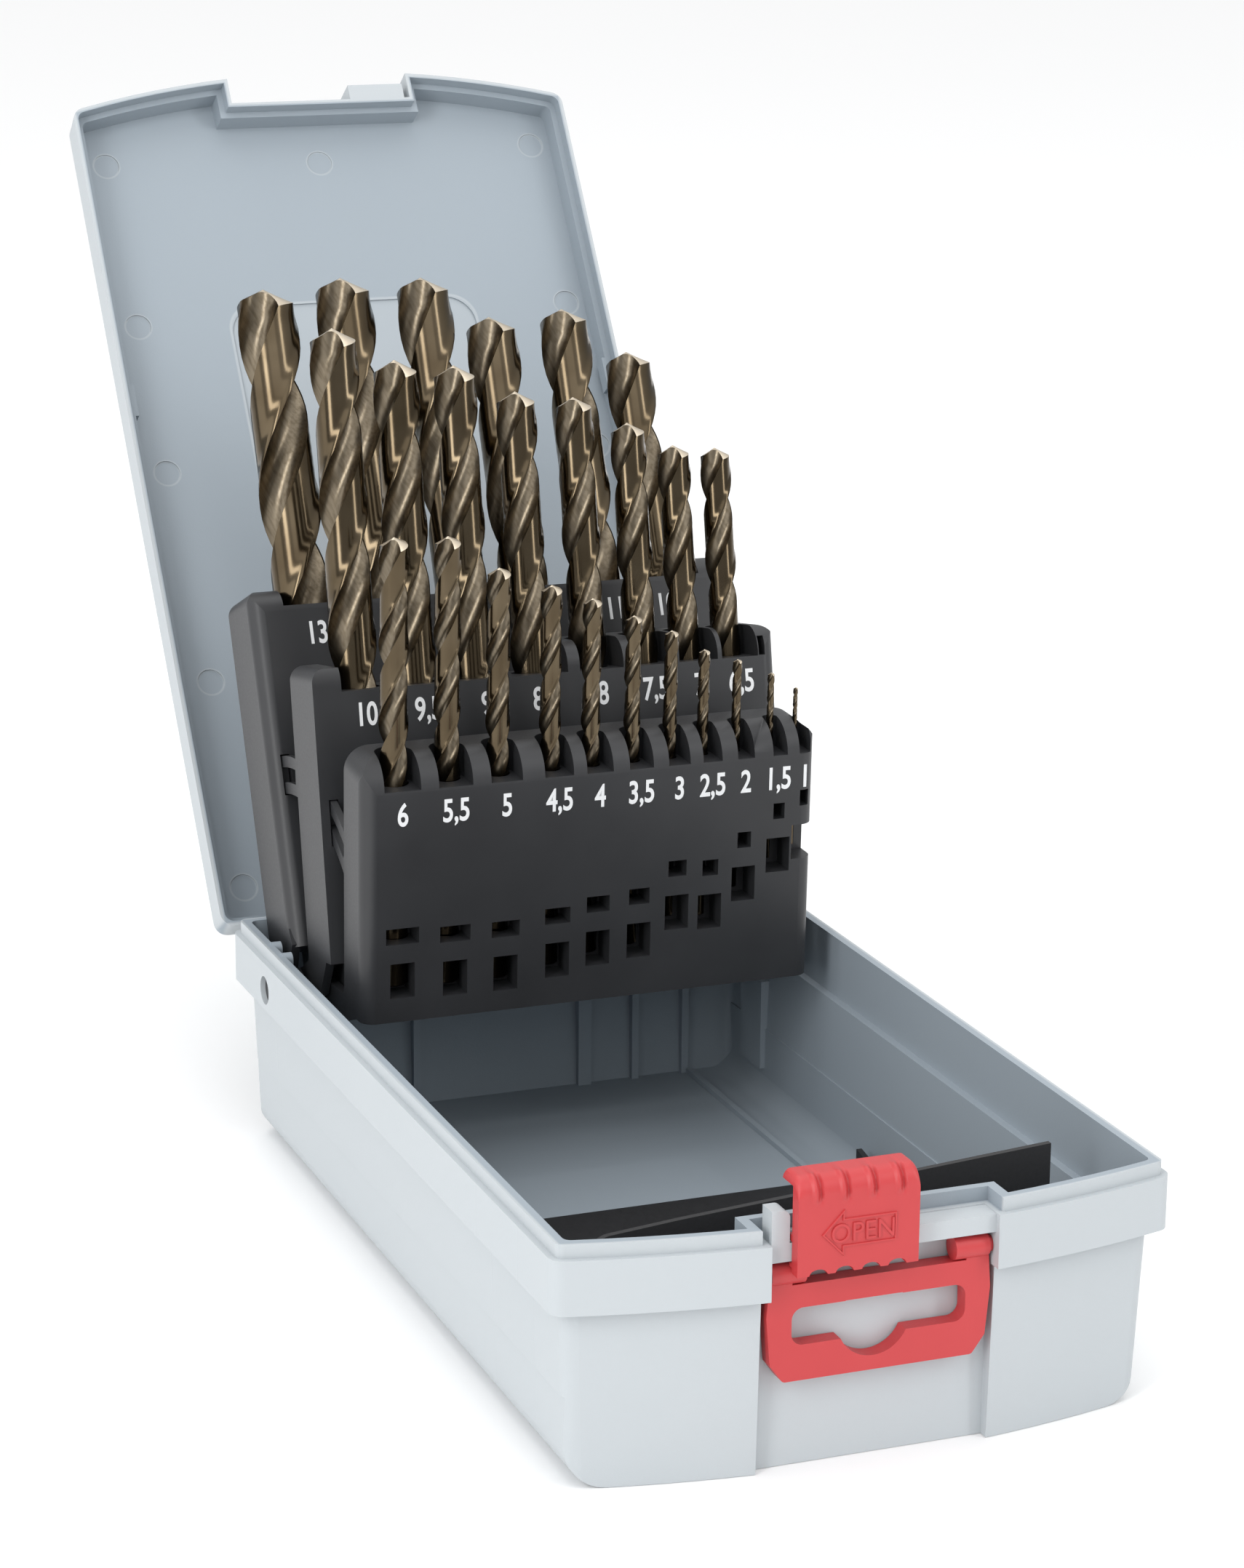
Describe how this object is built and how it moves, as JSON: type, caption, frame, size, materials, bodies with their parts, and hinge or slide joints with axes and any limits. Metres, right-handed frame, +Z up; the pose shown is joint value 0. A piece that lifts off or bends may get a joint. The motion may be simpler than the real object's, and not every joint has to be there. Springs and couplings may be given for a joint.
{
  "type": "drill bit case",
  "caption": "Hinged twist drill case: open tray and lid, three fold-out racks on one pivot holding lift-out drills, sliding latch and fold-out hanging handle.",
  "frame": {"origin": "on the underside of the tray, midway across and midway along it", "axes": "+X to the right seen from the latch, +Y from the latch towards the lid hinge, +Z up"},
  "size_m": [0.119, 0.3378, 0.2104],
  "materials": {
    "tray_plastic": "fine satin moulding, light grey",
    "lid_plastic": "fine satin moulding, light grey",
    "latch_red": "satin red",
    "handle_red": "satin red",
    "rack_plastic": "satin black",
    "liner_black": "matt black sheet",
    "drill_steel": "bronze-toned ground steel",
    "pin_steel": "bright",
    "pin_black": "satin black"
  },
  "bodies": {
    "tray": {"base_tray": "tray_plastic", "hinge_pin_left": "pin_steel", "hinge_pin_right": "pin_steel", "pivot_pin_left": "pin_black", "pivot_pin_right": "pin_black", "front_insert": "liner_black"},
    "lid": {"lid_shell": "lid_plastic"},
    "latch": {"latch_slider": "latch_red"},
    "handle": {"hanging_handle": "handle_red"},
    "front_rack": {"rack_front": "rack_plastic"},
    "middle_rack": {"rack_middle": "rack_plastic"},
    "rear_rack": {"rack_rear": "rack_plastic"},
    "drill_6_body": {"drill_6": "drill_steel"},
    "drill_5_5_body": {"drill_5_5": "drill_steel"},
    "drill_5_body": {"drill_5": "drill_steel"},
    "drill_4_5_body": {"drill_4_5": "drill_steel"},
    "drill_4_body": {"drill_4": "drill_steel"},
    "drill_3_5_body": {"drill_3_5": "drill_steel"},
    "drill_3_body": {"drill_3": "drill_steel"},
    "drill_2_5_body": {"drill_2_5": "drill_steel"},
    "drill_2_body": {"drill_2": "drill_steel"},
    "drill_1_5_body": {"drill_1_5": "drill_steel"},
    "drill_1_body": {"drill_1": "drill_steel"},
    "drill_10_body": {"drill_10": "drill_steel"},
    "drill_9_5_body": {"drill_9_5": "drill_steel"},
    "drill_9_body": {"drill_9": "drill_steel"},
    "drill_8_5_body": {"drill_8_5": "drill_steel"},
    "drill_8_body": {"drill_8": "drill_steel"},
    "drill_7_5_body": {"drill_7_5": "drill_steel"},
    "drill_7_body": {"drill_7": "drill_steel"},
    "drill_6_5_body": {"drill_6_5": "drill_steel"},
    "drill_13_body": {"drill_13": "drill_steel"},
    "drill_12_5_body": {"drill_12_5": "drill_steel"},
    "drill_12_body": {"drill_12": "drill_steel"},
    "drill_11_5_body": {"drill_11_5": "drill_steel"},
    "drill_11_body": {"drill_11": "drill_steel"},
    "drill_10_5_body": {"drill_10_5": "drill_steel"}
  },
  "joints": [
    {"name": "lid_hinge", "type": "hinge", "parent": "tray", "child": "lid", "pos_m": [0, 0.10608, 0.04176], "axis": [-1, 0, 0], "range_deg": [-125, 0]},
    {"name": "latch_slide", "type": "slide", "parent": "tray", "child": "latch", "axis": [1, 0, 0], "range_m": [0, 0.015]},
    {"name": "handle_hinge", "type": "hinge", "parent": "tray", "child": "handle", "pos_m": [0, -0.098, 0.0378], "axis": [-1, 0, 0], "range_deg": [0, 60]},
    {"name": "front_rack_pivot", "type": "hinge", "parent": "tray", "child": "front_rack", "pos_m": [0, 0.0785, 0.0384], "axis": [-1, 0, 0], "range_deg": [-88.05, 0]},
    {"name": "middle_rack_pivot", "type": "hinge", "parent": "tray", "child": "middle_rack", "pos_m": [0, 0.0785, 0.0384], "axis": [-1, 0, 0], "range_deg": [-100.4, 0]},
    {"name": "rear_rack_pivot", "type": "hinge", "parent": "tray", "child": "rear_rack", "pos_m": [0, 0.0785, 0.0384], "axis": [-1, 0, 0], "range_deg": [-112.5, 0]},
    {"name": "drill_6_lift", "type": "slide", "parent": "front_rack", "child": "drill_6_body", "axis": [0, -0.034, 0.9994], "range_m": [0, 0.04]},
    {"name": "drill_5_5_lift", "type": "slide", "parent": "front_rack", "child": "drill_5_5_body", "axis": [0, -0.034, 0.9994], "range_m": [0, 0.04]},
    {"name": "drill_5_lift", "type": "slide", "parent": "front_rack", "child": "drill_5_body", "axis": [0, -0.034, 0.9994], "range_m": [0, 0.04]},
    {"name": "drill_4_5_lift", "type": "slide", "parent": "front_rack", "child": "drill_4_5_body", "axis": [0, -0.034, 0.9994], "range_m": [0, 0.04]},
    {"name": "drill_4_lift", "type": "slide", "parent": "front_rack", "child": "drill_4_body", "axis": [0, -0.034, 0.9994], "range_m": [0, 0.04]},
    {"name": "drill_3_5_lift", "type": "slide", "parent": "front_rack", "child": "drill_3_5_body", "axis": [0, -0.034, 0.9994], "range_m": [0, 0.04]},
    {"name": "drill_3_lift", "type": "slide", "parent": "front_rack", "child": "drill_3_body", "axis": [0, -0.034, 0.9994], "range_m": [0, 0.04]},
    {"name": "drill_2_5_lift", "type": "slide", "parent": "front_rack", "child": "drill_2_5_body", "axis": [0, -0.034, 0.9994], "range_m": [0, 0.04]},
    {"name": "drill_2_lift", "type": "slide", "parent": "front_rack", "child": "drill_2_body", "axis": [0, -0.034, 0.9994], "range_m": [0, 0.04]},
    {"name": "drill_1_5_lift", "type": "slide", "parent": "front_rack", "child": "drill_1_5_body", "axis": [0, -0.034, 0.9994], "range_m": [0, 0.04]},
    {"name": "drill_1_lift", "type": "slide", "parent": "front_rack", "child": "drill_1_body", "axis": [0, -0.034, 0.9994], "range_m": [0, 0.04]},
    {"name": "drill_10_lift", "type": "slide", "parent": "middle_rack", "child": "drill_10_body", "axis": [0, 0.1805, 0.9836], "range_m": [0, 0.04]},
    {"name": "drill_9_5_lift", "type": "slide", "parent": "middle_rack", "child": "drill_9_5_body", "axis": [0, 0.1805, 0.9836], "range_m": [0, 0.04]},
    {"name": "drill_9_lift", "type": "slide", "parent": "middle_rack", "child": "drill_9_body", "axis": [0, 0.1805, 0.9836], "range_m": [0, 0.04]},
    {"name": "drill_8_5_lift", "type": "slide", "parent": "middle_rack", "child": "drill_8_5_body", "axis": [0, 0.1805, 0.9836], "range_m": [0, 0.04]},
    {"name": "drill_8_lift", "type": "slide", "parent": "middle_rack", "child": "drill_8_body", "axis": [0, 0.1805, 0.9836], "range_m": [0, 0.04]},
    {"name": "drill_7_5_lift", "type": "slide", "parent": "middle_rack", "child": "drill_7_5_body", "axis": [0, 0.1805, 0.9836], "range_m": [0, 0.04]},
    {"name": "drill_7_lift", "type": "slide", "parent": "middle_rack", "child": "drill_7_body", "axis": [0, 0.1805, 0.9836], "range_m": [0, 0.04]},
    {"name": "drill_6_5_lift", "type": "slide", "parent": "middle_rack", "child": "drill_6_5_body", "axis": [0, 0.1805, 0.9836], "range_m": [0, 0.04]},
    {"name": "drill_13_lift", "type": "slide", "parent": "rear_rack", "child": "drill_13_body", "axis": [0, 0.3827, 0.9239], "range_m": [0, 0.04]},
    {"name": "drill_12_5_lift", "type": "slide", "parent": "rear_rack", "child": "drill_12_5_body", "axis": [0, 0.3827, 0.9239], "range_m": [0, 0.04]},
    {"name": "drill_12_lift", "type": "slide", "parent": "rear_rack", "child": "drill_12_body", "axis": [0, 0.3827, 0.9239], "range_m": [0, 0.04]},
    {"name": "drill_11_5_lift", "type": "slide", "parent": "rear_rack", "child": "drill_11_5_body", "axis": [0, 0.3827, 0.9239], "range_m": [0, 0.04]},
    {"name": "drill_11_lift", "type": "slide", "parent": "rear_rack", "child": "drill_11_body", "axis": [0, 0.3827, 0.9239], "range_m": [0, 0.04]},
    {"name": "drill_10_5_lift", "type": "slide", "parent": "rear_rack", "child": "drill_10_5_body", "axis": [0, 0.3827, 0.9239], "range_m": [0, 0.04]}
  ],
  "couplings": [
    {"joint": "front_rack_pivot", "follows": "lid_hinge", "ratio": 0.7044},
    {"joint": "middle_rack_pivot", "follows": "lid_hinge", "ratio": 0.8032},
    {"joint": "rear_rack_pivot", "follows": "lid_hinge", "ratio": 0.9}
  ]
}
